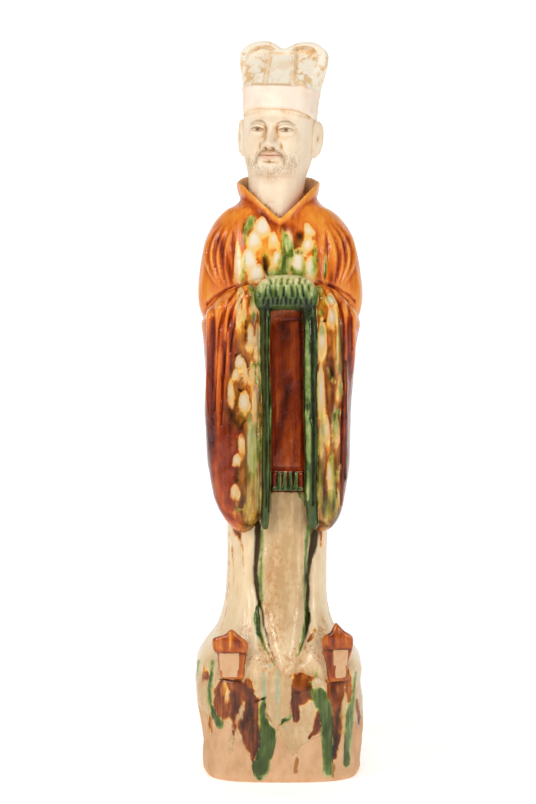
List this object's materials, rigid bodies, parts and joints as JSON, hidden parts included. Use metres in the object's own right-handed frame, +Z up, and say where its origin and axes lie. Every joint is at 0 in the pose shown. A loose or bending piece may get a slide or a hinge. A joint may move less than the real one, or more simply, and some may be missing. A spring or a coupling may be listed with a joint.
{
  "type": "tomb attendant figure",
  "caption": "Standing court attendant of glazed pottery in a tall two-lobed cap, hands joined inside wide sleeves, shoes turned up, on a rock base.",
  "frame": {"origin": "on the flat underside of the rock base, below the middle of the figure", "axes": "+Z up the figure; the figure faces -Y, and +X is on its left-hand side, the viewer's right"},
  "size_m": [0.2386, 0.2005, 1.0452],
  "materials": {
    "glazed_pottery": null
  },
  "bodies": {
    "root": {"attendant": "glazed_pottery"}
  },
  "joints": []
}
